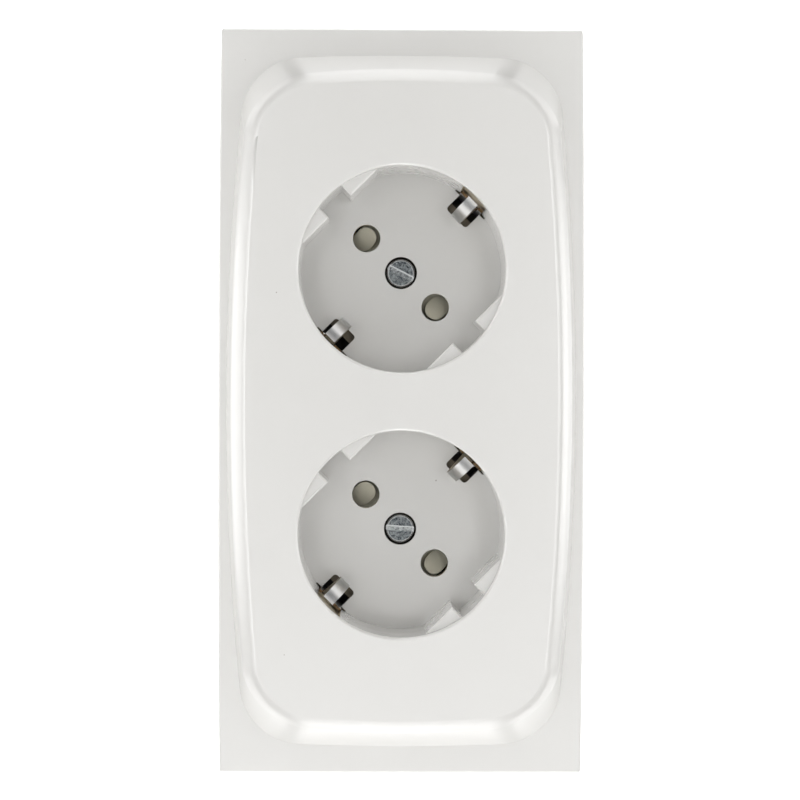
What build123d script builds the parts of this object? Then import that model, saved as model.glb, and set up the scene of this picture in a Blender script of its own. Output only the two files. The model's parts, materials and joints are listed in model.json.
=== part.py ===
from build123d import *

import os
from math import asin, cos, degrees, radians, sin, sqrt, tan

# Double wall socket, sizes in millimetres. X runs across, Z up, and the front faces -Y.
# Every height is measured from the wall plane towards the room, so a negative height is
# inside the wall box.

# Cover plate: a flat border with a raised panel, in one moulding with both recesses
plate_width = 70.0
plate_length = 142.0
plate_side_bow = 0.5
plate_end_bow = 0.1
plate_corner_radius = 0.5
side_border = 1.6
end_border = 5.1
panel_rise = 6.0
foot_side_bow = 3.8
foot_end_bow = 1.0
foot_corner_radius = 12.0
panel_side_inset = 1.6
panel_end_inset = 4.0
panel_side_bow = 3.3
panel_end_bow = 2.4
panel_corner_radius = 14.0
panel_edge_fillet = 3.0
border_edge_fillet = 0.4
cover_wall = 1.8
rib_thickness = 1.2
rib_depth = 9.0
rib_overhang = 9.0
foot_post_radius = 2.0

# Plug recesses
socket_pitch = 50.0
recess_diameter = 39.0
recess_depth = 17.5
recess_wall = 1.6
recess_floor = 2.0
rim_fillet = 0.5
lug_flat = 16.7
lug_gap = 5.9
lug_face_depth = 2.0
lug_chamfer = 0.3
pin_pitch = 19.0
pin_length = 19.0
pin_hole_diameter = 5.4
base_gap = 0.5
base_sink = 4.0

# Cover screws and the hollow bosses that they sit in
screw_hole_diameter = 6.3
screw_head_diameter = 5.5
screw_head_height = 2.2
screw_head_sink = 0.7
screw_head_chamfer = 0.25
screw_slot_width = 1.1
screw_slot_depth = 0.8
screw_diameter = 3.5
screw_overrun = 0.4
boss_wall = 1.35
thread_gap = 0.05
screw_hole_gap = 0.35
upper_slot_turn = -27.0
lower_slot_turn = -4.0

# Earth bows: a strap across the back, two legs with shoulders and two sprung fingers in each recess
bow_sheet = 0.5
leg_width = 5.6
leg_inset = 0.22
leg_slot_gap = 0.15
leg_slot_end_gap = 1.2
shoulder_height = 4.2
shoulder_slit = 0.3
finger_width = 2.4
finger_bulge_radius = 14.5
finger_bulge_height = 8.4
finger_curve_radius = 5.4
finger_end_turn = 79.0
finger_root_turn = 35.0
finger_knee_bend = 1.0
upper_right_lean = 0.25
upper_left_lean = -0.45
lower_right_lean = -0.55
lower_left_lean = -0.7
finger_slot_width = 5.45
finger_slot_start = 15.1
finger_slot_corner = 0.7
finger_shelf = 1.7
finger_pocket_depth = 6.0
wall_pocket_width = 6.0
wall_pocket_depth = 0.6
wall_pocket_stop = 1.0

# Child-protection shutters, their guide cups and springs
pivot_gap = 0.08
hub_wall = 1.8
wing_overhang = 0.2
wing_thickness = 1.8
wing_edge_turn = 17.5
wing_lip_turn = 0.5
button_radius = 2.0
button_stretch = 0.9
button_shift = -0.13
button_outset = 0.3
button_land = 0.3
ramp_angle = 30.0
shutter_gap = 0.3
shutter_floor_gap = 0.2
guide_wall = 1.2
guide_floor = 1.2
guide_side_gap = 1.3
pin_passage_gap = 0.5
stop_width_turn = 3.5
stop_gap_turn = 0.5
tab_turn = 119.0
tab_width_turn = 5.5
tab_thickness = 1.4
tab_finger_radius = 10.2
spring_sheet = 0.4
spring_width = 2.4
spring_bend = 1.1
spring_apex_turn = 89.5
spring_apex_gap = 0.55
spring_tip_gap_turn = 1.5
spring_stop_turn = 60.0
post_radius = 0.75
post_overrun = 0.4

# Steel support plate that the wall-box screws hold
support_thickness = 1.0
support_side_gap = 0.7
support_end_gap = 2.4
support_corner_radius = 4.0
recess_clearance = 0.6
box_screw_spacing_across = 60.0
box_screw_spacing_up = 71.0
box_screw_hole_diameter = 3.4
window_length = 24.0
window_width = 5.0
window_inset = 9.0

# Contact base, its rear cover and their fasteners
flange_width = 4.7
flange_thickness = 2.0
base_wall = 1.6
base_web = 1.4
pocket_gap = 0.2
base_centre_gap = 0.35
rear_cover_thickness = 2.0
rear_cover_fillet = 0.6
key_width = 3.0
key_length = 0.7
key_turn = 45.0
rivet_diameter = 2.0
rivet_head_diameter = 3.8
rivet_head_height = 0.8
rivet_head_round = 0.5
cover_screw_diameter = 2.2
cover_screw_head_diameter = 4.4
cover_screw_head_height = 1.3
cover_screw_length = 7.0
cross_width = 0.8
cross_length = 2.6
cross_depth = 0.8
inner_screw_across = 16.0
inner_screw_up = 20.0
outer_screw_across = 14.0
outer_screw_up = 36.0

# Contact strips and terminals
contact_sheet = 0.7
contact_width = 5.0
contact_throat = 4.2
contact_root_width = 5.9
contact_lip_width = 6.2
contact_lip_depth = 0.5
contact_throat_depth = 2.7
contact_bend = 0.8
contact_chamber_gap = 0.4
pin_end_gap = 1.5
strip_seat_depth = 2.0
terminal_offset = 14.0
terminal_tab_size = 9.0
terminal_gap = 0.7
terminal_screw_diameter = 3.5
terminal_head_diameter = 6.6
terminal_head_height = 2.4
terminal_slot_width = 1.0
terminal_slot_depth = 1.2
terminal_screw_length = 6.5
washer_size = 8.2
washer_thickness = 1.2
washer_corner_radius = 1.0
link_thickness = 0.8
link_width = 8.0
bush_diameter = 6.4
bush_height = 3.0

# Heights that follow from the sizes above
base_front = -base_sink
front = base_front + base_gap + recess_floor + recess_depth
border_height = front - panel_rise
floor_front = front - recess_depth
floor_back = floor_front - recess_floor
screw_seat = floor_front - screw_head_sink - screw_head_height
shutter_top = floor_back - shutter_gap
wing_top = shutter_top - (2 * button_radius + button_stretch) * tan(radians(ramp_angle))
shutter_bottom = wing_top - wing_thickness
guide_floor_front = shutter_bottom - shutter_floor_gap
guide_back = guide_floor_front - guide_floor
chamber_front = guide_back - base_web
strip_front = floor_front - pin_length - pin_end_gap
strip_back = strip_front - contact_sheet
base_back = strip_front - strip_seat_depth
rear = base_back - rear_cover_thickness
bow_back = rear - bow_sheet
link_back = bow_back - link_thickness
bush_back = link_back - bush_height

# Radii and places that follow
half_width = plate_width / 2
half_length = plate_length / 2
recess_radius = recess_diameter / 2
pot_radius = recess_radius + recess_wall
pin_radius = pin_pitch / 2
boss_bore = screw_diameter / 2 + screw_hole_gap
boss_radius = screw_hole_diameter / 2 + boss_wall
hub_radius = boss_radius + pivot_gap + hub_wall
button_reach = pin_radius + button_outset
button_end = button_shift + button_stretch + button_radius
wing_end_turn = degrees(asin(button_end / button_reach)) + wing_lip_turn
wing_radius = button_reach + button_radius + wing_overhang
guide_inner_radius = wing_radius + guide_side_gap
guide_radius = guide_inner_radius + guide_wall
guide_pocket_radius = guide_radius + pocket_gap
leg_radius = recess_radius - leg_inset
leg_bend = bow_sheet / 2 + leg_slot_gap
support_hole_radius = pot_radius + recess_clearance
base_radius = support_hole_radius + base_wall
flange_radius = base_radius + flange_width
rivet_radius = base_radius + flange_width / 2
pin_across = pin_radius / sqrt(2)
strip_thread_radius = terminal_screw_diameter / 2 + thread_gap
strap_hole_radius = screw_diameter / 2 + thread_gap
base_centre_radius = screw_diameter / 2 + base_centre_gap
sockets = {"upper": socket_pitch / 2, "lower": -socket_pitch / 2}
slot_turns = {"upper": upper_slot_turn, "lower": lower_slot_turn}
finger_leans = {
    "upper": {1: upper_right_lean, -1: upper_left_lean},
    "lower": {1: lower_right_lean, -1: lower_left_lean},
}
rear_cover_screw_places = [
    (inner_screw_across, inner_screw_up),
    (-inner_screw_across, -inner_screw_up),
    (-outer_screw_across, outer_screw_up),
    (outer_screw_across, -outer_screw_up),
]


def level(height):
    """A plane parallel to the wall, with X across, Z up and its normal towards the room."""
    return Plane.XZ.offset(height)


def socket_level(centre, height):
    """The same at one socket's centre, turned so that its x axis runs through both pins."""
    return Plane(origin=(0, -height, centre), x_dir=(1, 0, -1), z_dir=(0, -1, 0))


def earth_section(centre):
    """An upright section through both earth fingers, with x along them and y the height."""
    return Plane(origin=(0, 0, centre), x_dir=(1, 0, 1), z_dir=(1, 0, -1))


def pin_section(centre):
    """An upright section through both pins, with x along them and y the height."""
    return Plane(origin=(0, 0, centre), x_dir=(1, 0, -1), z_dir=(-1, 0, -1))


def edge_break(way, distance):
    """The corners of the small triangle that breaks a lug's front edge."""
    face = front - lug_face_depth
    edge = way * distance
    return (edge, face), (edge + way * lug_chamfer, face), (edge, face - lug_chamfer)


def polar(radius, turn):
    """A point at a radius and an angle in degrees."""
    return (radius * cos(radians(turn)), radius * sin(radians(turn)))


def sector(radius, start, end):
    """The corners of a wedge from the centre that reaches past a radius."""
    reach = radius / cos(radians(end - start) / 2)
    return (0, 0), polar(reach, start), polar(reach, end)


def bowed_outline(height, half_wide, half_long, side_bow, end_bow, corner_radius):
    """A rectangle whose four sides bow outwards, with rounded corners."""
    corner_x = half_wide - side_bow
    corner_z = half_long - end_bow
    with BuildSketch(level(height)) as outline:
        with BuildLine():
            ThreePointArc((corner_x, -corner_z), (half_wide, 0), (corner_x, corner_z))
            ThreePointArc((corner_x, corner_z), (0, half_long), (-corner_x, corner_z))
            ThreePointArc((-corner_x, corner_z), (-half_wide, 0), (-corner_x, -corner_z))
            ThreePointArc((-corner_x, -corner_z), (0, -half_long), (corner_x, -corner_z))
        make_face()
        fillet(outline.vertices(), corner_radius)
    return outline.sketch


def plate_outline(height, inset):
    """The plate's outer outline, moved inwards by a wall."""
    return bowed_outline(
        height,
        half_width - inset,
        half_length - inset,
        plate_side_bow,
        plate_end_bow,
        plate_corner_radius,
    )


def panel_foot(height, inset):
    """The outline where the raised panel meets the border."""
    return bowed_outline(
        height,
        half_width - side_border - inset,
        half_length - end_border - inset,
        foot_side_bow,
        foot_end_bow,
        foot_corner_radius - inset,
    )


def panel_top(height, inset):
    """The raised panel's outline at its front, before its edge is rounded."""
    return bowed_outline(
        height,
        half_width - side_border - panel_side_inset - inset,
        half_length - end_border - panel_end_inset - inset,
        panel_side_bow,
        panel_end_bow,
        panel_corner_radius - inset,
    )


os.makedirs("parts", exist_ok=True)

# Cover plate
with BuildPart() as cover_plate:
    extrude(plate_outline(0, 0), amount=border_height)
    fillet(cover_plate.faces().sort_by(Axis.Y)[0].edges(), border_edge_fillet)
    loft([panel_foot(border_height, 0).face(), panel_top(front, 0).face()], ruled=True)
    fillet(cover_plate.faces().sort_by(Axis.Y)[0].edges(), panel_edge_fillet)

    # The hollow behind the border and the panel
    extrude(plate_outline(0, cover_wall), amount=border_height - cover_wall, mode=Mode.SUBTRACT)
    hollow_foot = panel_foot(border_height - cover_wall, cover_wall)
    hollow_top = panel_top(front - cover_wall, cover_wall)
    loft([hollow_foot.face(), hollow_top.face()], ruled=True, mode=Mode.SUBTRACT)

    # Ribs, posts that stand on the support plate, and the two pots
    with BuildSketch(level(front - cover_wall - rib_depth)):
        with GridLocations(0, socket_pitch, 1, 2):
            Rectangle(2 * (half_width - side_border - panel_side_inset - cover_wall), rib_thickness)
        Rectangle(rib_thickness, socket_pitch + 2 * (pot_radius + rib_overhang))
    extrude(amount=rib_depth + cover_wall / 2)
    with BuildSketch(level(support_thickness)):
        with GridLocations(2 * pot_radius + 4 * foot_post_radius, socket_pitch + 2 * pot_radius, 2, 2):
            Circle(foot_post_radius)
    extrude(amount=front - cover_wall / 2 - support_thickness)
    with BuildSketch(level(floor_back)):
        with GridLocations(0, socket_pitch, 1, 2):
            Circle(pot_radius)
    extrude(amount=front - cover_wall / 2 - floor_back)
    with BuildSketch(level(shutter_bottom)):
        with GridLocations(0, socket_pitch, 1, 2):
            Circle(boss_radius)
    extrude(amount=floor_front - shutter_bottom)

    for centre in sockets.values():
        # The recess, with two pairs of guide lugs left standing on the pin axis
        lug_thickness = recess_radius - lug_flat + recess_wall / 2
        with BuildSketch(socket_level(centre, front)):
            Circle(recess_radius)
        extrude(amount=-lug_face_depth, mode=Mode.SUBTRACT)
        with BuildSketch(socket_level(centre, front - lug_face_depth)):
            Circle(recess_radius)
            with GridLocations(2 * lug_flat + lug_thickness, lug_gap + recess_radius, 2, 2):
                Rectangle(lug_thickness, recess_radius, mode=Mode.SUBTRACT)
        extrude(amount=lug_face_depth - recess_depth, mode=Mode.SUBTRACT)

        # Pockets in the wall behind the earth fingers, and the slots that the fingers stand in
        pocket_reach = recess_radius + wall_pocket_depth
        with BuildSketch(socket_level(centre, floor_front)):
            with GridLocations(0, 2 * leg_radius, 1, 2):
                Rectangle(wall_pocket_width, 2 * (pocket_reach - leg_radius))
        extrude(amount=recess_depth - wall_pocket_stop, mode=Mode.SUBTRACT)
        slot_length = leg_radius - finger_slot_start
        with BuildSketch(socket_level(centre, floor_front)):
            with GridLocations(0, finger_slot_start + leg_radius, 1, 2):
                RectangleRounded(finger_slot_width, slot_length, finger_slot_corner)
            with GridLocations(0, 2 * leg_radius, 1, 2):
                Rectangle(leg_width + 2 * leg_slot_end_gap, bow_sheet + 2 * leg_slot_gap)
            with GridLocations(pin_pitch, 0, 2, 1):
                Circle(pin_hole_diameter / 2)
        extrude(amount=-recess_floor, mode=Mode.SUBTRACT)

        # The stepped hole for the cover screw
        with BuildSketch(socket_level(centre, floor_front)):
            Circle(screw_hole_diameter / 2)
        extrude(amount=screw_seat - floor_front, mode=Mode.SUBTRACT)
        with BuildSketch(socket_level(centre, screw_seat)):
            Circle(boss_bore)
        extrude(amount=shutter_bottom - screw_seat, mode=Mode.SUBTRACT)

        # The lugs' front edges are broken on their flats and beside the gap
        flat_reach = sqrt(recess_radius**2 - (lug_flat + lug_chamfer) ** 2)
        gap_reach = sqrt(recess_radius**2 - (lug_gap / 2 + lug_chamfer) ** 2)
        for way in (1, -1):
            with BuildSketch(pin_section(centre)):
                Polygon(*edge_break(way, lug_flat), align=None)
            extrude(amount=flat_reach, both=True, mode=Mode.SUBTRACT)
            with BuildSketch(earth_section(centre).offset(way * lug_flat)):
                Polygon(*edge_break(1, lug_gap / 2), align=None)
                Polygon(*edge_break(-1, lug_gap / 2), align=None)
            extrude(amount=way * (gap_reach - lug_flat), mode=Mode.SUBTRACT)

    panel_face = cover_plate.faces().sort_by(Axis.Y)[0]
    fillet(panel_face.inner_wires().edges(), rim_fillet)
cover_plate.part.label = "cover_plate"
export_step(cover_plate.part, "parts/cover_plate.step")

# Slotted cheese-head screws that hold the cover to the earth bows
for side, centre in sockets.items():
    with BuildPart() as cover_screw:
        with BuildSketch(level(screw_seat)):
            with Locations((0, centre)):
                Circle(screw_head_diameter / 2)
        extrude(amount=screw_head_height)
        chamfer(cover_screw.faces().sort_by(Axis.Y)[0].edges(), screw_head_chamfer)
        with BuildSketch(level(screw_seat + screw_head_height)):
            with Locations((0, centre)):
                Rectangle(screw_head_diameter, screw_slot_width, rotation=slot_turns[side])
        extrude(amount=-screw_slot_depth, mode=Mode.SUBTRACT)
        with BuildSketch(level(bush_back - screw_overrun)):
            with Locations((0, centre)):
                Circle(screw_diameter / 2)
        extrude(amount=screw_seat - bush_back + screw_overrun)
        chamfer(cover_screw.faces().sort_by(Axis.Y)[-1].edges(), screw_overrun)
    cover_screw.part.label = side + "_cover_screw"
    export_step(cover_screw.part, "parts/" + side + "_cover_screw.step")

# Rotating shutters: a hub on the cover's boss, two wings and two oblique buttons
ramp_start = hub_radius + wing_overhang
button_middle = button_shift + button_stretch / 2
high_edge = button_shift - button_radius + button_land
low_edge = button_end + button_land
for side, centre in sockets.items():
    with BuildPart() as shutter:
        with BuildSketch(socket_level(centre, shutter_bottom)):
            for turn in (0, 180):
                Polygon(*sector(wing_radius, turn - wing_edge_turn, turn + wing_end_turn), align=None)
            Circle(wing_radius, mode=Mode.INTERSECT)
            Circle(hub_radius)
            Circle(boss_radius + pivot_gap, mode=Mode.SUBTRACT)
        extrude(amount=wing_thickness)
        with BuildSketch(socket_level(centre, shutter_bottom)):
            Circle(hub_radius)
            Circle(boss_radius + pivot_gap, mode=Mode.SUBTRACT)
        extrude(amount=shutter_top - shutter_bottom)
        with BuildSketch(socket_level(centre, wing_top)):
            with Locations((button_reach, button_middle), (-button_reach, -button_middle)):
                SlotCenterToCenter(button_stretch, 2 * button_radius, rotation=90)
        extrude(amount=shutter_top - wing_top)
        for way in (1, -1):
            offset_across = way * ramp_start / sqrt(2)
            ramp_plane = Plane(
                origin=(offset_across, 0, centre - offset_across),
                x_dir=(way, 0, way),
                z_dir=(way, 0, -way),
            )
            with BuildSketch(ramp_plane):
                Polygon(
                    (high_edge, shutter_top),
                    (low_edge, shutter_top),
                    (low_edge, wing_top),
                    align=None,
                )
            extrude(amount=wing_radius - ramp_start, mode=Mode.SUBTRACT)

        # The arm that the spring pushes on
        with BuildSketch(socket_level(centre, shutter_top)):
            Polygon(*sector(wing_radius, tab_turn, tab_turn + tab_width_turn), align=None)
            Circle(wing_radius, mode=Mode.INTERSECT)
            Circle(hub_radius - hub_wall / 2, mode=Mode.SUBTRACT)
        extrude(amount=-tab_thickness)
        with BuildSketch(socket_level(centre, shutter_top)):
            Polygon(*sector(wing_radius, tab_turn, tab_turn + tab_width_turn), align=None)
            Circle(wing_radius, mode=Mode.INTERSECT)
            Circle(tab_finger_radius, mode=Mode.SUBTRACT)
        extrude(amount=shutter_bottom - shutter_top)
    shutter.part.label = side + "_shutter"
    export_step(shutter.part, "parts/" + side + "_shutter.step")

# Hairpin springs that turn the shutters back
spring_tip_radius = wing_radius - spring_sheet
spring_apex_radius = hub_radius + spring_apex_gap
spring_front = guide_floor_front + shutter_gap + spring_width
spring_tip_low = polar(spring_tip_radius, spring_stop_turn + spring_tip_gap_turn)
spring_tip_high = polar(spring_tip_radius, tab_turn - spring_tip_gap_turn)
spring_apex = polar(spring_apex_radius, spring_apex_turn)
for side, centre in sockets.items():
    with BuildPart() as shutter_spring:
        with BuildSketch(socket_level(centre, spring_front)):
            with BuildLine():
                FilletPolyline(spring_tip_low, spring_apex, spring_tip_high, radius=spring_bend)
            trace(line_width=spring_sheet)
        extrude(amount=-spring_width)
    shutter_spring.part.label = side + "_shutter_spring"
    export_step(shutter_spring.part, "parts/" + side + "_shutter_spring.step")

# Guide cups behind the shutters, with their stops and the spring's post
leg_across = spring_tip_low[0] - spring_apex[0]
leg_up = spring_tip_low[1] - spring_apex[1]
apex_axis = polar(1, spring_apex_turn)
leg_cosine = (leg_across * apex_axis[0] + leg_up * apex_axis[1]) / sqrt(leg_across**2 + leg_up**2)
post_place = polar(spring_apex_radius + spring_bend / sqrt(1 - leg_cosine**2), spring_apex_turn)
rest_stop_turn = tab_turn + tab_width_turn + stop_gap_turn
for side, centre in sockets.items():
    with BuildPart() as shutter_guide:
        with BuildSketch(socket_level(centre, guide_back)):
            Circle(guide_radius)
            with Locations(polar(guide_radius, key_turn)):
                Rectangle(2 * key_length, key_width, rotation=key_turn)
        extrude(amount=shutter_top - guide_back)
        with BuildSketch(socket_level(centre, guide_floor_front)):
            Circle(guide_inner_radius)
            for turn in (spring_stop_turn - stop_width_turn, rest_stop_turn):
                Polygon(*sector(guide_radius, turn, turn + stop_width_turn), align=None, mode=Mode.SUBTRACT)
            Circle(tab_finger_radius)
        extrude(amount=shutter_top - guide_floor_front, mode=Mode.SUBTRACT)
        with BuildSketch(socket_level(centre, guide_floor_front)):
            with Locations(post_place):
                Circle(post_radius)
        extrude(amount=spring_front + post_overrun - guide_floor_front)
        with BuildSketch(socket_level(centre, guide_floor_front)):
            Circle(base_centre_radius)
            with GridLocations(pin_pitch, 0, 2, 1):
                Circle(pin_hole_diameter / 2 + pin_passage_gap / 2)
        extrude(amount=-guide_floor, mode=Mode.SUBTRACT)
    shutter_guide.part.label = side + "_shutter_guide"
    export_step(shutter_guide.part, "parts/" + side + "_shutter_guide.step")

# Steel support plate
with BuildPart() as support_plate:
    with BuildSketch(level(0)):
        RectangleRounded(
            2 * (half_width - plate_side_bow - cover_wall - support_side_gap),
            2 * (half_length - cover_wall - support_end_gap),
            support_corner_radius,
        )
        with GridLocations(0, socket_pitch, 1, 2):
            Circle(support_hole_radius, mode=Mode.SUBTRACT)
        with GridLocations(box_screw_spacing_across, box_screw_spacing_up, 2, 2):
            Circle(box_screw_hole_diameter / 2, mode=Mode.SUBTRACT)
        with GridLocations(2 * rivet_radius, socket_pitch, 2, 2):
            Circle(rivet_diameter / 2 + thread_gap, mode=Mode.SUBTRACT)
        with GridLocations(0, 2 * (half_length - cover_wall - support_end_gap - window_inset), 1, 2):
            SlotOverall(window_length, window_width, mode=Mode.SUBTRACT)
    extrude(amount=support_thickness)
support_plate.part.label = "support_plate"
export_step(support_plate.part, "parts/support_plate.step")

# Contact base
chamber_half = (contact_lip_width + contact_sheet) / 2 + contact_chamber_gap + contact_sheet / 2
terminal_reach = base_radius - pin_across
with BuildPart() as contact_base:
    with BuildSketch(level(base_back)):
        SlotCenterToCenter(socket_pitch, 2 * base_radius, rotation=90)
    extrude(amount=-base_back)
    with BuildSketch(level(-flange_thickness)):
        SlotCenterToCenter(socket_pitch, 2 * flange_radius, rotation=90)
    extrude(amount=flange_thickness)
    with BuildSketch(level(-flange_thickness)):
        with GridLocations(2 * rivet_radius, socket_pitch, 2, 2):
            Circle(rivet_diameter / 2 + thread_gap)
    extrude(amount=flange_thickness, mode=Mode.SUBTRACT)

    for centre in sockets.values():
        # The well that takes the recess, the shutter cup's pocket and the room behind the fingers
        with BuildSketch(socket_level(centre, 0)):
            Circle(support_hole_radius)
        extrude(amount=base_front, mode=Mode.SUBTRACT)
        with BuildSketch(socket_level(centre, base_front)):
            Circle(guide_pocket_radius)
            with Locations(polar(guide_pocket_radius, key_turn)):
                Rectangle(2 * key_length, key_width + 2 * pocket_gap, rotation=key_turn)
        extrude(amount=guide_back - base_front, mode=Mode.SUBTRACT)
        with BuildSketch(socket_level(centre, base_front)):
            with GridLocations(0, finger_slot_start + finger_shelf + leg_radius, 1, 2):
                Rectangle(finger_slot_width, leg_radius - finger_slot_start - finger_shelf)
        extrude(amount=-finger_pocket_depth, mode=Mode.SUBTRACT)
        with BuildSketch(socket_level(centre, base_front)):
            with GridLocations(0, 2 * leg_radius, 1, 2):
                Rectangle(leg_width + 2 * leg_slot_gap, bow_sheet + 2 * leg_slot_gap)
            Circle(base_centre_radius)
        extrude(amount=base_back - base_front, mode=Mode.SUBTRACT)

        # Pin passages, and the chambers that the contacts are laid into from behind
        with BuildSketch(socket_level(centre, guide_back)):
            with GridLocations(pin_pitch, 0, 2, 1):
                Circle(pin_hole_diameter / 2 + pin_passage_gap)
        extrude(amount=-base_web, mode=Mode.SUBTRACT)
        with BuildSketch(level(base_back)):
            with Locations((pin_across, centre - pin_across), (-pin_across, centre + pin_across)):
                Rectangle(2 * chamber_half, contact_width + 2 * contact_chamber_gap)
        extrude(amount=chamber_front - base_back, mode=Mode.SUBTRACT)

    # Channels for the strips and, on either side, a terminal that is open to the outside
    with BuildSketch(level(base_back)):
        with Locations((pin_across, -pin_across), (-pin_across, pin_across)):
            Rectangle(contact_width + 2 * contact_chamber_gap, socket_pitch)
        for way in (1, -1):
            with Locations((way * (pin_across + base_radius) / 2, 0)):
                Rectangle(terminal_reach + contact_width, terminal_tab_size + 2 * terminal_gap)
    extrude(amount=strip_seat_depth, mode=Mode.SUBTRACT)
    with BuildSketch(level(strip_front)):
        with GridLocations(2 * terminal_offset, 0, 2, 1):
            Circle(terminal_screw_diameter / 2 + base_centre_gap)
    extrude(amount=terminal_screw_length, mode=Mode.SUBTRACT)
    with BuildSketch(level(base_back)):
        Circle(terminal_screw_diameter / 2 + base_centre_gap)
    extrude(amount=terminal_screw_length, mode=Mode.SUBTRACT)
    with BuildSketch(level(base_back)):
        with Locations(*rear_cover_screw_places):
            Circle(cover_screw_diameter / 2 + thread_gap)
    extrude(amount=cover_screw_length, mode=Mode.SUBTRACT)
contact_base.part.label = "contact_base"
export_step(contact_base.part, "parts/contact_base.step")

# Rear cover that closes the contact chambers
with BuildPart() as rear_cover:
    with BuildSketch(level(rear)):
        SlotCenterToCenter(socket_pitch, 2 * base_radius, rotation=90)
    extrude(amount=rear_cover_thickness)
    fillet(rear_cover.faces().sort_by(Axis.Y)[-1].edges(), rear_cover_fillet)
    for centre in sockets.values():
        with BuildSketch(socket_level(centre, rear)):
            with GridLocations(0, 2 * leg_radius, 1, 2):
                Rectangle(leg_width + 2 * leg_slot_gap, bow_sheet + 2 * leg_slot_gap)
            Circle(base_centre_radius)
        extrude(amount=rear_cover_thickness, mode=Mode.SUBTRACT)
    with BuildSketch(level(rear)):
        window_edge = terminal_offset - terminal_tab_size / 2 - terminal_gap
        for way in (1, -1):
            with Locations((way * (window_edge + base_radius) / 2, 0)):
                Rectangle(base_radius - window_edge + cover_wall, terminal_tab_size + 2 * terminal_gap)
        Circle(terminal_screw_diameter / 2 + base_centre_gap)
        with Locations(*rear_cover_screw_places):
            Circle(cover_screw_diameter / 2 + thread_gap)
    extrude(amount=rear_cover_thickness, mode=Mode.SUBTRACT)
rear_cover.part.label = "rear_cover"
export_step(rear_cover.part, "parts/rear_cover.step")

# Contact strips: each joins one pin of both sockets and ends in a terminal tab
throat_half = (contact_throat + contact_sheet) / 2
root_half = contact_root_width / 2
lip_half = (contact_lip_width + contact_sheet) / 2
strip_middle = (strip_front + strip_back) / 2
tab_end = terminal_offset + terminal_tab_size / 2
lip_height = chamber_front - contact_lip_depth
throat_height = chamber_front - contact_throat_depth
for name, way in (("neutral_contact_strip", 1), ("line_contact_strip", -1)):
    with BuildPart() as contact_strip:
        with BuildSketch(level(strip_back)):
            with Locations((way * pin_across, -way * pin_across)):
                Rectangle(contact_width, socket_pitch)
            with Locations((way * (pin_across + tab_end) / 2, 0)):
                Rectangle(tab_end - pin_across, terminal_tab_size)
            with Locations((way * terminal_offset, 0)):
                Circle(strip_thread_radius, mode=Mode.SUBTRACT)
        extrude(amount=contact_sheet)
        for centre in sockets.values():
            contact_plane = Plane(
                origin=(way * pin_across, 0, centre - way * pin_across),
                x_dir=(1, 0, 0),
                z_dir=(0, 0, -1),
            )
            with BuildSketch(contact_plane):
                with BuildLine():
                    FilletPolyline(
                        (-lip_half, lip_height),
                        (-throat_half, throat_height),
                        (-root_half, strip_middle),
                        (root_half, strip_middle),
                        (throat_half, throat_height),
                        (lip_half, lip_height),
                        radius=contact_bend,
                    )
                trace(line_width=contact_sheet)
            extrude(amount=contact_width / 2, both=True)
    contact_strip.part.label = name
    export_step(contact_strip.part, "parts/" + name + ".step")

# Earth bows
bow_middle = (rear + bow_back) / 2
shoulder = floor_front + shoulder_height
curve_centre = (finger_bulge_radius + finger_curve_radius, floor_front + finger_bulge_height)


def finger_point(turn):
    """A point on the finger's curve, at an angle up from its innermost point, as radius and height."""
    inwards, upwards = polar(finger_curve_radius, turn)
    return curve_centre[0] - inwards, curve_centre[1] + upwards


finger_root = finger_point(-finger_root_turn)
finger_bulge = finger_point(0)
finger_end = finger_point(finger_end_turn)
finger_knee = (leg_radius, finger_root[1] - (leg_radius - finger_root[0]) / tan(radians(finger_root_turn)))
for side, centre in sockets.items():
    with BuildPart() as earth_bow:
        with BuildSketch(earth_section(centre)):
            with BuildLine():
                FilletPolyline(
                    (-leg_radius, shoulder),
                    (-leg_radius, bow_middle),
                    (leg_radius, bow_middle),
                    (leg_radius, shoulder),
                    radius=leg_bend,
                )
            trace(line_width=bow_sheet)
        extrude(amount=leg_width / 2, both=True)
        for way, lean in finger_leans[side].items():
            # Each finger is cut free between its shoulders, and sits a little to one side
            finger_section = earth_section(centre).offset(lean)
            with BuildSketch(finger_section):
                with Locations((way * leg_radius, (finger_knee[1] + shoulder) / 2)):
                    Rectangle(2 * bow_sheet, shoulder - finger_knee[1])
            extrude(amount=finger_width / 2 + shoulder_slit, both=True, mode=Mode.SUBTRACT)
            with BuildSketch(finger_section):
                with BuildLine():
                    FilletPolyline(
                        (way * leg_radius, floor_back),
                        (way * finger_knee[0], finger_knee[1]),
                        (way * finger_root[0], finger_root[1]),
                        radius=finger_knee_bend,
                    )
                    ThreePointArc(
                        (way * finger_root[0], finger_root[1]),
                        (way * finger_bulge[0], finger_bulge[1]),
                        (way * finger_end[0], finger_end[1]),
                    )
                trace(line_width=bow_sheet)
            extrude(amount=finger_width / 2, both=True)
        with BuildSketch(socket_level(centre, rear)):
            Circle(strap_hole_radius)
        extrude(amount=-bow_sheet, mode=Mode.SUBTRACT)
    earth_bow.part.label = side + "_earth_bow"
    export_step(earth_bow.part, "parts/" + side + "_earth_bow.step")

# Link that joins both bows and carries the earth terminal
with BuildPart() as earth_link:
    with BuildSketch(level(link_back)):
        SlotCenterToCenter(socket_pitch, link_width, rotation=90)
        with GridLocations(0, socket_pitch, 1, 2):
            Circle(strap_hole_radius, mode=Mode.SUBTRACT)
        Circle(strip_thread_radius, mode=Mode.SUBTRACT)
    extrude(amount=link_thickness)
earth_link.part.label = "earth_link"
export_step(earth_link.part, "parts/earth_link.step")

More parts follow.
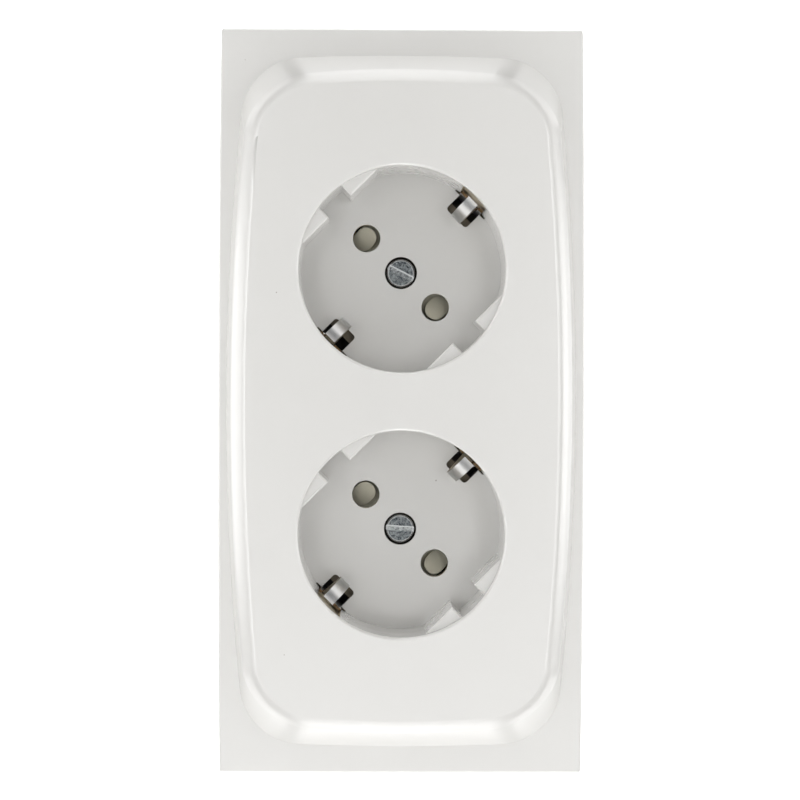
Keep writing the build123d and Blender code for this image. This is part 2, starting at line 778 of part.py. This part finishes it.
# Threaded bushes behind the link, for the cover screws
for side, centre in sockets.items():
    with BuildPart() as screw_bush:
        with BuildSketch(level(bush_back)):
            with Locations((0, centre)):
                RegularPolygon(bush_diameter / 2, 6, major_radius=False)
                Circle(strap_hole_radius, mode=Mode.SUBTRACT)
        extrude(amount=bush_height)
    screw_bush.part.label = side + "_screw_bush"
    export_step(screw_bush.part, "parts/" + side + "_screw_bush.step")

# Terminal screws and washers: line, earth and neutral
terminal_places = {
    "line": (-terminal_offset, strip_back),
    "earth": (0, link_back),
    "neutral": (terminal_offset, strip_back),
}
for name, (across, seat) in terminal_places.items():
    with BuildPart() as terminal_washer:
        with BuildSketch(level(seat - washer_thickness)):
            with Locations((across, 0)):
                RectangleRounded(washer_size, washer_size, washer_corner_radius)
                Circle(strip_thread_radius, mode=Mode.SUBTRACT)
        extrude(amount=washer_thickness)
    terminal_washer.part.label = name + "_terminal_washer"
    export_step(terminal_washer.part, "parts/" + name + "_terminal_washer.step")

    head_front = seat - washer_thickness
    with BuildPart() as terminal_screw:
        with BuildSketch(level(head_front - terminal_head_height)):
            with Locations((across, 0)):
                Circle(terminal_head_diameter / 2)
        extrude(amount=terminal_head_height)
        chamfer(terminal_screw.faces().sort_by(Axis.Y)[-1].edges(), screw_head_chamfer)
        with BuildSketch(level(head_front - terminal_head_height)):
            with Locations((across, 0)):
                Rectangle(terminal_head_diameter, terminal_slot_width)
        extrude(amount=terminal_slot_depth, mode=Mode.SUBTRACT)
        with BuildSketch(level(head_front)):
            with Locations((across, 0)):
                Circle(terminal_screw_diameter / 2)
        extrude(amount=terminal_screw_length)
    terminal_screw.part.label = name + "_terminal_screw"
    export_step(terminal_screw.part, "parts/" + name + "_terminal_screw.step")

# Rivets between the support plate and the base's flange
with BuildPart() as base_rivets:
    for head_height in (support_thickness, -flange_thickness - rivet_head_height):
        with BuildSketch(level(head_height)):
            with GridLocations(2 * rivet_radius, socket_pitch, 2, 2):
                Circle(rivet_head_diameter / 2)
        extrude(amount=rivet_head_height)
    for heads in (base_rivets.faces().group_by(Axis.Y)[0], base_rivets.faces().group_by(Axis.Y)[-1]):
        fillet(heads.edges(), rivet_head_round)
    with BuildSketch(level(-flange_thickness)):
        with GridLocations(2 * rivet_radius, socket_pitch, 2, 2):
            Circle(rivet_diameter / 2)
    extrude(amount=flange_thickness + support_thickness)
base_rivets.part.label = "base_rivets"
export_step(base_rivets.part, "parts/base_rivets.step")

# Screws that hold the rear cover
with BuildPart() as rear_cover_screws:
    with BuildSketch(level(rear - cover_screw_head_height)):
        with Locations(*rear_cover_screw_places):
            Circle(cover_screw_head_diameter / 2)
    extrude(amount=cover_screw_head_height)
    chamfer(rear_cover_screws.faces().group_by(Axis.Y)[-1].edges(), screw_head_chamfer)
    with BuildSketch(level(rear - cover_screw_head_height)):
        with Locations(*rear_cover_screw_places):
            Rectangle(cross_length, cross_width)
            Rectangle(cross_width, cross_length)
    extrude(amount=cross_depth, mode=Mode.SUBTRACT)
    with BuildSketch(level(rear)):
        with Locations(*rear_cover_screw_places):
            Circle(cover_screw_diameter / 2)
    extrude(amount=cover_screw_length)
rear_cover_screws.part.label = "rear_cover_screws"
export_step(rear_cover_screws.part, "parts/rear_cover_screws.step")
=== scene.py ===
import json
from math import cos, hypot, pi, radians, sin

import bpy
from mathutils import Matrix, Vector


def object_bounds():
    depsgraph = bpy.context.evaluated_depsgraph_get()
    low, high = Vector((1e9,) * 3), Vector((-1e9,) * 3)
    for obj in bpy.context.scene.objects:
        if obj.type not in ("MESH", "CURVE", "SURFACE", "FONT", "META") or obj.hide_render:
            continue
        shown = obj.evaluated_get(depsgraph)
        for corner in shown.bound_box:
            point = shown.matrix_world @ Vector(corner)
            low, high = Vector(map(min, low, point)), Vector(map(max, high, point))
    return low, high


# Double wall socket. Lengths are in metres, X runs across, Z up, and the front faces -Y.
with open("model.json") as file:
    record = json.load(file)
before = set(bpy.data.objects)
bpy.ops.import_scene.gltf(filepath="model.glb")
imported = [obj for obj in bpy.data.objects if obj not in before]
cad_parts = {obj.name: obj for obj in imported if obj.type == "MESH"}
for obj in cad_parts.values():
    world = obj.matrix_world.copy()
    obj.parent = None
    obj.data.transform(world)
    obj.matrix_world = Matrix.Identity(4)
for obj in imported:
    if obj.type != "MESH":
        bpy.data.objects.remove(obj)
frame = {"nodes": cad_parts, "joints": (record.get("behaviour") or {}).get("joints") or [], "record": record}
cad_low, cad_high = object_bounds()
front = -cad_low.y

# Camera, as the photograph was taken
camera_lens_mm = 107.0
camera_sensor_mm = 36.0
camera_place = Vector((-0.0064, -0.4636, 0.0038))
camera_aim = Vector((-0.00033, -front, 0.00031))
camera_roll = radians(0.195)
camera_near = 0.01

# Studio
floor_level = -0.9
bowl_radius = 2.4
bowl_sweep = 0.9
bowl_height = 3.0
bowl_dark = (0.79, 0.79, 0.79, 1.0)
bowl_light = (0.81, 0.81, 0.81, 1.0)
backdrop_place = (0.0, 0.9, 1.6)
backdrop_aim = (0.0, 2.4, 0.0)
backdrop_size = (1.4, 0.7)
backdrop_radiance = 6.2
backdrop_spread = radians(70)

# A softbox's power for each unit of its radiance and area
power_share = 4.0

# Long softboxes on four sides: where each starts and ends, out from the wall, and its radiance
side_distance = 0.7
side_height = 0.27
side_breadth = 0.255
side_boxes = {
    "left": [(-0.7, -0.3, 0.9), (-0.3, 1.3, 1.5)],
    "right": [(-0.7, 0.04, 0.82), (0.04, 0.8, 1.72)],
    "top": [(-0.7, -0.12, 1.0), (-0.12, 1.5, 1.55)],
    "bottom": [(-0.7, 0.2, 0.95), (0.2, 1.6, 1.6)],
}

# The same at the four corners
corner_distance = 0.53
corner_breadth = 0.66
corner_boxes = [(-0.7, 0.2, 0.75), (0.2, 0.5, 0.95)]

# Softboxes in front of the socket: how far out they stand, and each one's place, size and radiance
front_out = 1.9
front_boxes = {
    "left": ((-0.5, 0.0), (0.4, 0.8), 2.2),
    "right": ((0.5, 0.0), (0.4, 0.8), 1.85),
    "bottom": ((0.0, -0.5), (0.5, 0.5), 0.9),
}

# Where the earth strip's shoulders and finger ends are
shoulder_reach = 0.0175
finger_end = -0.010

# Distances from a socket's axis at which a finger's bright crown and the darker band on it, painted shade,
# begin and end
crown_start = (0.0149, 0.0153)
band_start = (0.0169, 0.0175)
band_end = (0.0179, 0.0185)
crown_end = (0.0186, 0.0189)

# How squarely a face turns to a direction to count as facing it, and when two faces count as one level
square_on = 0.99
flank_on = 0.95
end_on = 0.9
chamfer_on = 0.5
same_level = 0.0001

# The pockets behind the fingers, the pin holes and the screw hole, from a socket's axis or along Y
pocket_reach = (0.0193, 0.0203)
pocket_half_width = 0.0031
pocket_top = 0.001
recess_floor = 0.0015
base_front = 0.004
screw_hole_reach = 0.0033
finger_slot_reach = (0.0167, 0.0190)
pin_reach = 0.0095
pin_hole_reach = 0.0028
# How deep in the screw hole the painted shade turns black, and how unevenly
hole_shade_depth = (0.0016, 0.0026)
hole_shade_unevenness = 0.0004

# The cover screws: how their slots are turned, where a slot's painted highlight along its edge and a head's
# painted highlight ring at the rim begin, and tones
slot_turns = {"upper": radians(27), "lower": radians(4)}
slot_edge = (0.00026, 0.00034)
rim_edge = (0.00234, 0.00242)
face_tones = ((0.055, 0.064, 0.07, 1), (0.25, 0.268, 0.272, 1))
# The slot floors are painted lighter than the faces, and the lower screw's lighter than the upper's: painted
# light
slot_tones = {
    "upper": ((0.13, 0.14, 0.145, 1), (0.36, 0.375, 0.375, 1)),
    "lower": ((0.22, 0.235, 0.235, 1), (0.50, 0.52, 0.515, 1)),
}

# Tones of dirt specks, of painted shade on the fingers and of painted highlights on the screw heads
speck_tone = (0.42, 0.39, 0.35, 1)
band_shade_tone = (0.44, 0.445, 0.44, 1)
facet_shade_tone = (0.58, 0.58, 0.565, 1)
rim_highlight_tone = (0.44, 0.45, 0.445, 1)
slot_highlight_tone = (0.56, 0.575, 0.57, 1)

# The middle of a noise, where most of its values lie
noise_middle = (0.3, 0.7)

# Directions in one socket: the pins lie on one diagonal and the earth fingers on the other
pin_axis = Vector((1, 0, -1)).normalized()
earth_axis = Vector((1, 0, 1)).normalized()
socket_centres = {
    side: Vector(joint["pos_m"])
    for side in ("upper", "lower")
    for joint in frame["joints"]
    if joint["child"] == side + "_shutter"
}


class Finish:
    """One material, built up node by node around its shader."""

    def __init__(self, name, **sockets):
        self.material = bpy.data.materials.new(name)
        self.material.use_nodes = True
        self.tree = self.material.node_tree
        self.shader = self.tree.nodes["Principled BSDF"]
        self.place = self.node("ShaderNodeTexCoord").outputs["Object"]
        for socket, value in sockets.items():
            self.feed(socket.replace("_", " "), value)

    def feed(self, socket, value):
        """Sets one of the shader's sockets to a number or colour, or links a node's output to it."""
        self.fill(self.shader.inputs[socket], value)

    def fill(self, socket, value):
        if isinstance(value, bpy.types.NodeSocket):
            self.tree.links.new(value, socket)
        else:
            socket.default_value = value

    def node(self, kind, inputs=None, **settings):
        made = self.tree.nodes.new(kind)
        for setting, value in settings.items():
            setattr(made, setting, value)
        for socket, value in (inputs or {}).items():
            self.fill(made.inputs[socket], value)
        return made

    def stretched(self, scale, turn=(0, 0, 0)):
        """The place on the object, turned and then stretched along each axis."""
        turned = self.node("ShaderNodeMapping", {"Vector": self.place, "Rotation": turn})
        return self.vector("MULTIPLY", turned.outputs[0], scale)["Vector"]

    def noise(self, size, detail=2.0, place=None, distortion=0.0):
        """Cloudy noise from 0 to 1 whose features are about one size across."""
        made = self.node(
            "ShaderNodeTexNoise",
            {
                "Vector": place or self.place,
                "Scale": 1 / size,
                "Detail": detail,
                "Distortion": distortion,
            },
        )
        return made.outputs["Fac"]

    def cells(self, size, output="Distance"):
        """Scattered cells of about one size: the distance to each cell's middle, or its own colour."""
        made = self.node("ShaderNodeTexVoronoi", {"Vector": self.place, "Scale": 1 / size})
        return made.outputs[output]

    def spread(self, value, low, high, to_low=0.0, to_high=1.0):
        """Stretches a range of values to another one and cuts off what lies outside."""
        made = self.node(
            "ShaderNodeMapRange",
            {"Value": value, "From Min": low, "From Max": high, "To Min": to_low, "To Max": to_high},
        )
        return made.outputs["Result"]

    def between(self, noise, low, high):
        """Values that follow a noise from one end to the other."""
        return self.spread(noise, *noise_middle, low, high)

    def math(self, operation, first, second=0.0):
        return self.node("ShaderNodeMath", {0: first, 1: second}, operation=operation).outputs[0]

    def inside(self, value, start, end):
        """1 between two soft edges and 0 outside them."""
        rise = self.spread(value, *start)
        fall = self.spread(value, *end, 1.0, 0.0)
        return self.math("MULTIPLY", rise, fall)

    def vector(self, operation, *inputs):
        return self.node("ShaderNodeVectorMath", dict(enumerate(inputs)), operation=operation).outputs

    def mix(self, share, first, second):
        """One colour where the share is 0, the other where it is 1."""
        made = self.node("ShaderNodeMix", {0: share, 6: first, 7: second}, data_type="RGBA")
        return made.outputs[2]

    def bump(self, height, depth, below=None):
        """Relief of a depth in metres, over an earlier one."""
        inputs = {"Height": height, "Distance": depth, "Strength": 1.0}
        if below is not None:
            inputs["Normal"] = below
        return self.node("ShaderNodeBump", inputs).outputs["Normal"]

    def apart(self, centre):
        """The way from a centre to the place on the object."""
        return self.vector("SUBTRACT", self.place, centre)["Vector"]

    def towards(self, direction, centre=(0, 0, 0)):
        """The distance from a centre along a direction."""
        return self.vector("DOT_PRODUCT", self.apart(centre), direction)["Value"]

    def radius(self, centre):
        """The distance from an axis that runs from front to back."""
        flat = self.vector("MULTIPLY", self.apart(centre), (1, 0, 1))["Vector"]
        return self.vector("LENGTH", flat)["Value"]

    def rings(self, centre, width):
        """Noise in fine rings round an axis that runs from front to back."""
        made = self.node(
            "ShaderNodeTexNoise",
            {"W": self.radius(centre), "Scale": 1 / width, "Detail": 3.0},
            noise_dimensions="1D",
        )
        return made.outputs["Fac"]

    def specks(self, size, spacing, share):
        """Small round specks, 1 inside and 0 outside, in only a share of evenly scattered cells."""
        inside = self.math("LESS_THAN", self.cells(spacing), size / spacing)
        own = self.node("ShaderNodeSeparateColor", {0: self.cells(spacing, "Color")}).outputs[0]
        return self.math("MULTIPLY", inside, self.math("LESS_THAN", own, share))


def white_plastic():
    """The cover's glossy white moulding, with a faint waviness and a few specks."""
    finish = Finish("white_plastic", IOR=1.5, Coat_Weight=1.0, Coat_IOR=2.1)
    cloud = finish.noise(0.02, detail=3.0)
    tone = finish.mix(cloud, (0.73, 0.721, 0.695, 1), (0.754, 0.745, 0.719, 1))
    marks = finish.specks(size=0.00016, spacing=0.006, share=0.35)
    finish.feed("Base Color", finish.mix(marks, tone, speck_tone))
    dullness = finish.between(finish.noise(0.004, detail=1.0), 0.23, 0.25)
    finish.feed("Roughness", dullness)
    finish.feed("Coat Roughness", dullness)
    peel = finish.bump(finish.noise(0.0022), depth=0.000002)
    skin = finish.bump(finish.noise(0.0003), depth=0.0000008, below=peel)
    finish.feed("Normal", skin)
    finish.feed("Coat Normal", skin)
    return finish.material


def moulded_plastic(name, dark, light, roughness):
    """Dull moulded plastic with a fine eroded grain."""
    grain = 0.0005
    finish = Finish(name, IOR=1.5)
    cloud = finish.noise(0.006, detail=5.0)
    finish.feed("Base Color", finish.mix(cloud, dark, light))
    dullness = finish.between(finish.noise(0.003, detail=3.0), roughness, roughness + 0.12)
    finish.feed("Roughness", dullness)
    coarse = finish.bump(finish.noise(grain, detail=3.0), depth=0.000012)
    finish.feed("Normal", finish.bump(finish.noise(grain / 4), depth=0.000004, below=coarse))
    return finish.material


def nickel(name, centre=None):
    """Bright plated strip with fine rolling lines, and in a socket a darker streaked band and a darker inner
    facet on each finger, painted shade.
    """
    finish = Finish(name, Metallic=1.0)
    lines = finish.noise(0.001, detail=6.0, place=finish.stretched((9, 9, 1), turn=(0, radians(45), 0)))
    cloud = finish.noise(0.003, detail=4.0)
    tone = finish.mix(cloud, (0.62, 0.612, 0.597, 1), (0.70, 0.692, 0.68, 1))
    dullness = finish.between(lines, 0.3, 0.37)
    if centre is not None:
        # Painted shade: a darker band streaked along the rolling lines across each finger's top, and a
        # darker inner facet
        reach = finish.math("ABSOLUTE", finish.towards(earth_axis, centre))
        band = finish.inside(reach, band_start, band_end)
        shade_streaks = finish.spread(lines, 0.3, 0.62, 0.5, 1.0)
        tone = finish.mix(finish.math("MULTIPLY", band, shade_streaks), tone, band_shade_tone)
        tone = finish.mix(finish.spread(reach, *crown_start, 1.0, 0.0), tone, facet_shade_tone)
        crown = finish.inside(reach, crown_start, crown_end)
        dullness = finish.spread(crown, 0.0, 1.0, 0.42, dullness)
    finish.feed("Base Color", tone)
    finish.feed("Roughness", dullness)
    finish.feed("Normal", finish.bump(lines, depth=0.000001))
    return finish.material


def cut_edge():
    """The bare punched edges of the plated strip, brown and uneven."""
    finish = Finish("cut_edge", Metallic=1.0)
    cloud = finish.noise(0.0007, detail=5.0)
    brown = finish.mix(finish.spread(cloud, 0.35, 0.65), (0.10, 0.06, 0.03, 1), (0.34, 0.24, 0.14, 1))
    finish.feed("Base Color", brown)
    finish.feed("Roughness", finish.between(cloud, 0.35, 0.6))
    finish.feed("Normal", finish.bump(finish.noise(0.0002, detail=3.0), depth=0.00002))
    return finish.material


def zinc(name, dark, light, centre=None, slot_turn=None):
    """Zinc plating with a bluish mottle and scratches, and on a screw head a lighter ring at the rim and a
    light line along the slot's edge, both painted highlights.
    """
    finish = Finish(name, Metallic=1.0)
    mottle = finish.noise(0.0004, detail=6.0, distortion=0.6)
    if centre is None:
        slanted = finish.stretched((1, 1, 14), turn=(0, radians(24), 0))
        scratches = finish.noise(0.0005, detail=4.0, place=slanted)
    else:
        scratches = finish.rings(centre, 0.0002)
    shade = finish.math("MAXIMUM", finish.spread(mottle, 0.38, 0.66), finish.spread(scratches, 0.62, 0.68))
    tone = finish.mix(shade, dark, light)
    # Painted highlights: a lighter ring at the head's rim and a light line along the slot's edge
    if centre is not None:
        at_rim = finish.spread(finish.radius(centre), *rim_edge)
        tone = finish.mix(at_rim, tone, rim_highlight_tone)
    if slot_turn is not None:
        across = finish.towards((sin(slot_turn), 0, cos(slot_turn)), centre)
        tone = finish.mix(finish.spread(across, *slot_edge), tone, slot_highlight_tone)
    finish.feed("Base Color", tone)
    finish.feed("Roughness", finish.between(mottle, 0.24, 0.42))
    rough = finish.bump(mottle, depth=0.000012)
    finish.feed("Normal", finish.bump(scratches, depth=0.00001, below=rough))
    return finish.material


def painted_highlight_chamfer():
    """The screw heads' chamfers, given a light colour as a painted highlight."""
    finish = Finish("painted_highlight_chamfer", Metallic=1.0)
    cloud = finish.noise(0.0005, detail=4.0)
    finish.feed("Base Color", finish.mix(cloud, (0.80, 0.81, 0.80, 1), (0.96, 0.96, 0.95, 1)))
    finish.feed("Roughness", finish.between(cloud, 0.5, 0.62))
    return finish.material


def screw_hole():
    """The screw hole's wall, painted shade: a darker warm tone at its edge that turns black further in."""
    finish = Finish("screw_hole", IOR=1.5, Roughness=0.6)
    cloud = finish.noise(0.0006, detail=4.0)
    depth = finish.math("ADD", finish.towards((0, 1, 0)), finish.math("MULTIPLY", cloud, hole_shade_unevenness))
    share = finish.spread(depth, *hole_shade_depth)
    finish.feed("Base Color", finish.mix(share, (0.52, 0.49, 0.42, 1), (0.03, 0.023, 0.016, 1)))
    return finish.material


def galvanised():
    """Zinc-coated sheet with flat crystals of differing brightness."""
    finish = Finish("galvanised", Metallic=1.0)
    crystal = finish.node("ShaderNodeSeparateColor", {0: finish.cells(0.0035, "Color")}).outputs[1]
    cloud = finish.noise(0.002, detail=5.0)
    shade = finish.math("ADD", finish.math("MULTIPLY", crystal, 0.6), finish.math("MULTIPLY", cloud, 0.4))
    finish.feed("Base Color", finish.mix(shade, (0.48, 0.50, 0.51, 1), (0.76, 0.77, 0.78, 1)))
    finish.feed("Roughness", finish.spread(shade, 0.2, 0.8, 0.32, 0.52))
    finish.feed("Normal", finish.bump(cloud, depth=0.000006))
    return finish.material


def brass():
    """Plain brass strip and turned brass, with fine drawing lines."""
    finish = Finish("brass", Metallic=1.0)
    cloud = finish.noise(0.002, detail=5.0)
    lines = finish.noise(0.0008, detail=5.0, place=finish.stretched((10, 10, 1)))
    finish.feed("Base Color", finish.mix(cloud, (0.55, 0.38, 0.16, 1), (0.82, 0.64, 0.33, 1)))
    finish.feed("Roughness", finish.between(lines, 0.22, 0.4))
    finish.feed("Normal", finish.bump(lines, depth=0.000004))
    return finish.material


def spring_steel():
    """Bright spring strip, lined along its length."""
    finish = Finish("spring_steel", Metallic=1.0)
    lines = finish.noise(0.0005, detail=5.0, place=finish.stretched((1, 8, 1)))
    finish.feed("Base Color", finish.mix(lines, (0.42, 0.42, 0.43, 1), (0.68, 0.68, 0.69, 1)))
    finish.feed("Roughness", finish.between(lines, 0.2, 0.38))
    return finish.material


def stage_white():
    """The pale matt surface round the socket."""
    finish = Finish("stage_white", Roughness=0.9)
    finish.feed("Base Color", finish.mix(finish.noise(0.5), bowl_dark, bowl_light))
    return finish.material


def added(node, finish):
    """Adds a material to a piece and gives its number among the piece's materials."""
    node.data.materials.append(finish)
    return len(node.data.materials) - 1


def from_axis(polygon, centre):
    """How far a face lies from a socket's axis, along its fingers and along its pins."""
    apart = polygon.center - centre
    return abs(apart.dot(earth_axis)), abs(apart.dot(pin_axis))


# Dull plastics: a dark and a light tone, and how rough each one is
plastics = {
    "shutter_plastic": ((0.68, 0.66, 0.545, 1), (0.73, 0.71, 0.59, 1), 0.42),
    "guide_plastic": ((0.26, 0.25, 0.19, 1), (0.32, 0.31, 0.24, 1), 0.5),
    "base_plastic": ((0.17, 0.14, 0.095, 1), (0.21, 0.175, 0.12, 1), 0.42),
    # This warm tone is painted shade with a warm painted reflection, for the cover's pockets and pin holes
    "shaded_pocket_plastic": ((0.62, 0.55, 0.43, 1), (0.68, 0.61, 0.48, 1), 0.4),
    # The near-black tone is painted shade for the base's pockets under the fingers
    "pocket_shade": ((0.018, 0.015, 0.012, 1), (0.05, 0.042, 0.034, 1), 0.7),
}
finishes = {name: moulded_plastic(name, *looks) for name, looks in plastics.items()}
finishes |= {
    "white_plastic": white_plastic(),
    "nickel": nickel("nickel"),
    "zinc_steel": zinc("zinc_steel", (0.36, 0.40, 0.46, 1), (0.72, 0.74, 0.77, 1)),
    "plate_steel": galvanised(),
    "spring_steel": spring_steel(),
    "contact_brass": brass(),
}
for subpart in frame["record"]["subparts"]:
    node = frame["nodes"][subpart["node"]]
    node.data.materials.clear()
    node.data.materials.append(finishes[subpart["material_slot"]])

# The strip's punched edges: its flanks, the tops of the shoulders and the end of each finger
bare = cut_edge()
for side, centre in socket_centres.items():
    bow = frame["nodes"][side + "_earth_bow"]
    bow.data.materials[0] = nickel(side + "_nickel", centre)
    edge_slot = added(bow, bare)
    for polygon in bow.data.polygons:
        outwards = (polygon.center - centre).dot(earth_axis)
        flank = abs(polygon.normal.dot(pin_axis)) > flank_on
        shoulder = polygon.normal.y < -square_on and abs(outwards) > shoulder_reach
        faces_out = polygon.normal.dot(earth_axis) * outwards > end_on * abs(outwards)
        end = polygon.center.y < finger_end and faces_out
        if flank or shoulder or end:
            polygon.material_index = edge_slot

# The cover screws' worn faces, the floors of their slots, painted lighter as painted light, and their
# chamfers, painted light as a painted highlight
rim = painted_highlight_chamfer()
for side, centre in socket_centres.items():
    screw = frame["nodes"][side + "_cover_screw"]
    face_slot = added(screw, zinc(side + "_worn_zinc", *face_tones, centre))
    floor_slot = added(screw, zinc(side + "_slot_zinc", *slot_tones[side], centre, slot_turns[side]))
    rim_slot = added(screw, rim)
    face = min(polygon.center.y for polygon in screw.data.polygons)
    for polygon in screw.data.polygons:
        if polygon.normal.y < -square_on:
            polygon.material_index = face_slot if polygon.center.y < face + same_level else floor_slot
        elif polygon.normal.y < -chamfer_on:
            polygon.material_index = rim_slot

# The cover's pockets behind the fingers and its pin holes get a darker warm tone, painted shade with a warm
# painted reflection; its screw holes get a wall of painted shade
cover = frame["nodes"]["cover_plate"]
shaded_pocket_slot = added(cover, finishes["shaded_pocket_plastic"])
hole_slot = added(cover, screw_hole())
for polygon in cover.data.polygons:
    for centre in socket_centres.values():
        outwards, across = from_axis(polygon, centre)
        in_pocket = pocket_reach[0] < outwards < pocket_reach[1] and across < pocket_half_width
        if in_pocket and pocket_top - front < polygon.center.y < recess_floor:
            polygon.material_index = shaded_pocket_slot
        if polygon.center.y > recess_floor:
            if hypot(across - pin_reach, outwards) < pin_hole_reach:
                polygon.material_index = shaded_pocket_slot
            if hypot(across, outwards) < screw_hole_reach:
                polygon.material_index = hole_slot

# Painted shade in the base's pockets under the fingers: a near-black plastic where shade falls
base = frame["nodes"]["contact_base"]
pocket_shade_slot = added(base, finishes["pocket_shade"])
for polygon in base.data.polygons:
    for centre in socket_centres.values():
        outwards, across = from_axis(polygon, centre)
        in_slot = finger_slot_reach[0] < outwards < finger_slot_reach[1] and across < pocket_half_width
        if in_slot and polygon.center.y > base_front + same_level:
            polygon.material_index = pocket_shade_slot


def bowl():
    """A pale floor that sweeps up into a round wall, so that no edge shows from any side."""
    steps = 12
    rounds = 96
    profile = [(0.0, floor_level), (bowl_radius - bowl_sweep, floor_level)]
    for step in range(1, steps + 1):
        turn = pi / 2 * step / steps
        reach = bowl_radius - bowl_sweep * (1 - sin(turn))
        profile.append((reach, floor_level + bowl_sweep * (1 - cos(turn))))
    profile.append((bowl_radius, floor_level + bowl_height))
    points = [(0.0, 0.0, floor_level)]
    faces = []
    for ring, (radius, height) in enumerate(profile[1:]):
        for step in range(rounds):
            turn = 2 * pi * step / rounds
            points.append((radius * cos(turn), radius * sin(turn), height))
            here = 1 + ring * rounds + step
            beside = 1 + ring * rounds + (step + 1) % rounds
            if ring == 0:
                faces.append((0, here, beside))
            else:
                faces.append((here - rounds, here, beside, beside - rounds))
    mesh = bpy.data.meshes.new("bowl")
    mesh.from_pydata(points, [], faces)
    mesh.polygons.foreach_set("use_smooth", [True] * len(mesh.polygons))
    made = bpy.data.objects.new("bowl", mesh)
    bpy.context.scene.collection.objects.link(made)
    mesh.materials.append(stage_white())


def softbox(name, place, aim, size, radiance):
    """A rectangular light that points at a place; size is its width and height."""
    data = bpy.data.lights.new(name, "AREA")
    data.shape = "RECTANGLE"
    data.size, data.size_y = size
    data.energy = radiance * size[0] * size[1] * power_share
    made = bpy.data.objects.new(name, data)
    made.location = place
    made.rotation_mode = "QUATERNION"
    made.rotation_quaternion = (Vector(aim) - Vector(place)).to_track_quat("-Z", "Y")
    made.visible_camera = False
    bpy.context.scene.collection.objects.link(made)
    return made


def long_boxes(name, across, up, breadth, boxes):
    """Softboxes in one line that runs out from the wall, beside the socket and facing its middle axis."""
    for start, end, radiance in boxes:
        out = (start + end) / 2
        size = (end - start, breadth) if across else (breadth, end - start)
        softbox(name, (across, -out, up), (0, -out, 0), size, radiance)


bowl()
long_boxes("left_light", -side_distance, 0, side_height, side_boxes["left"])
long_boxes("right_light", side_distance, 0, side_height, side_boxes["right"])
long_boxes("top_light", 0, side_distance, side_breadth, side_boxes["top"])
long_boxes("bottom_light", 0, -side_distance, side_breadth, side_boxes["bottom"])
for across in (-corner_distance, corner_distance):
    for up in (-corner_distance, corner_distance):
        long_boxes("corner_light", across, up, corner_breadth, corner_boxes)
for side, ((across, up), size, radiance) in front_boxes.items():
    softbox(side + "_front_light", (across, -front_out, up), (0, 0, 0), size, radiance)
backdrop = softbox("backdrop_light", backdrop_place, backdrop_aim, backdrop_size, backdrop_radiance)
backdrop.data.spread = backdrop_spread

world = bpy.data.worlds.new("world")
world.use_nodes = True
world.node_tree.nodes["Background"].inputs["Strength"].default_value = 0.0
bpy.context.scene.world = world
bpy.context.scene.view_settings.view_transform = "Standard"

camera_data = bpy.data.cameras.new("camera")
camera_data.lens = camera_lens_mm
camera_data.sensor_width = camera_sensor_mm
camera_data.clip_start = camera_near
camera = bpy.data.objects.new("camera", camera_data)
camera.rotation_mode = "QUATERNION"
camera.location = camera_place
level_view = (camera_aim - camera_place).to_track_quat("-Z", "Y")
camera.rotation_quaternion = level_view @ Matrix.Rotation(camera_roll, 3, "Z").to_quaternion()
bpy.context.scene.collection.objects.link(camera)
bpy.context.scene.camera = camera
